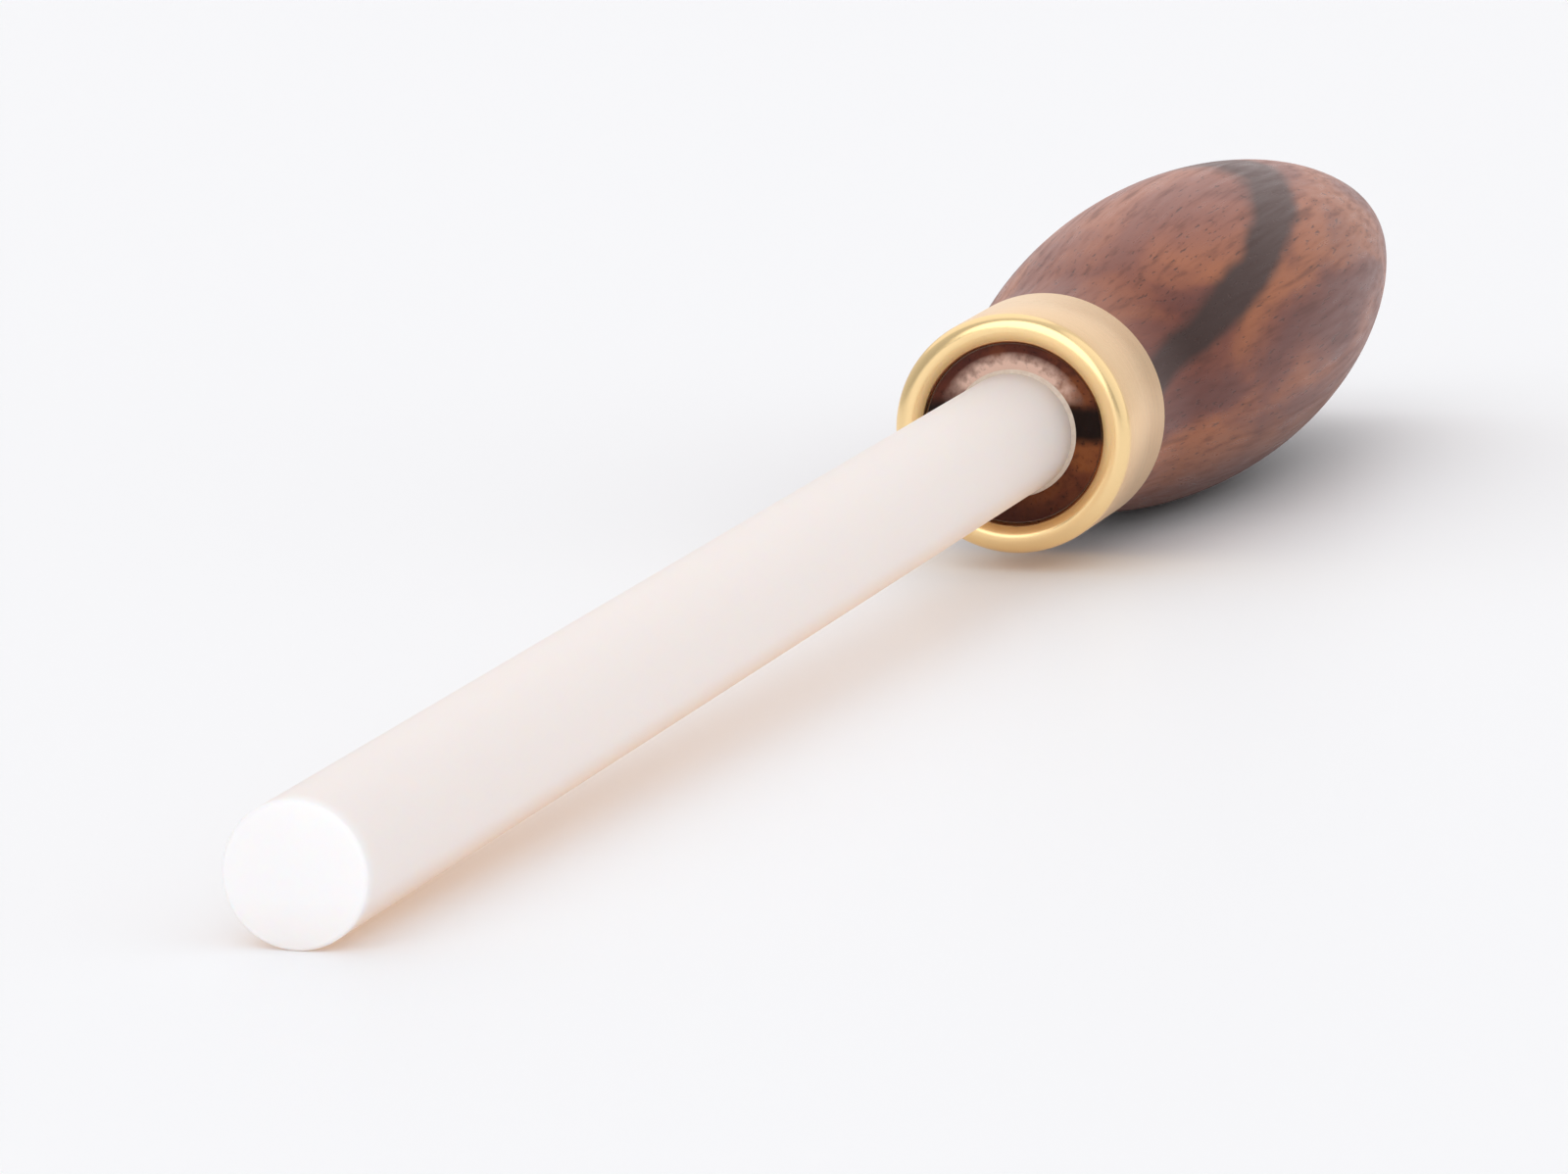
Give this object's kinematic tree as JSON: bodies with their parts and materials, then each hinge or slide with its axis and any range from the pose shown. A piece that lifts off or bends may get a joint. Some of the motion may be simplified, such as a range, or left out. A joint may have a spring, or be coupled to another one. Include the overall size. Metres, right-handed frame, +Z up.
{
  "type": "ceramic honing rod",
  "caption": "White ceramic rod glued into a turned hardwood handle behind a brass ferrule; a knife edge is drawn along the rod to hone it.",
  "frame": {"origin": "under the middle of the tool's bounding box, on the surface it lies on", "axes": "+Z up; +Y along the tool from the rod's tip to the handle's butt; +X across it. The tool's own axis rises 2.05 degrees from -Y to +Y, because the tip's edge and the handle's belly rest on the surface"},
  "size_m": [0.034, 0.3716, 0.0343],
  "materials": {
    "alumina": "ground matt, slightly translucent",
    "hardwood": "oiled and waxed satin, with a dark vein",
    "brass": "satin side, polished front rim",
    "epoxy": "clear, slightly amber"
  },
  "bodies": {
    "root": {"ceramic_rod": "alumina", "handle": "hardwood", "ferrule": "brass", "rod_bond": "epoxy", "ferrule_bond": "epoxy"}
  },
  "joints": []
}
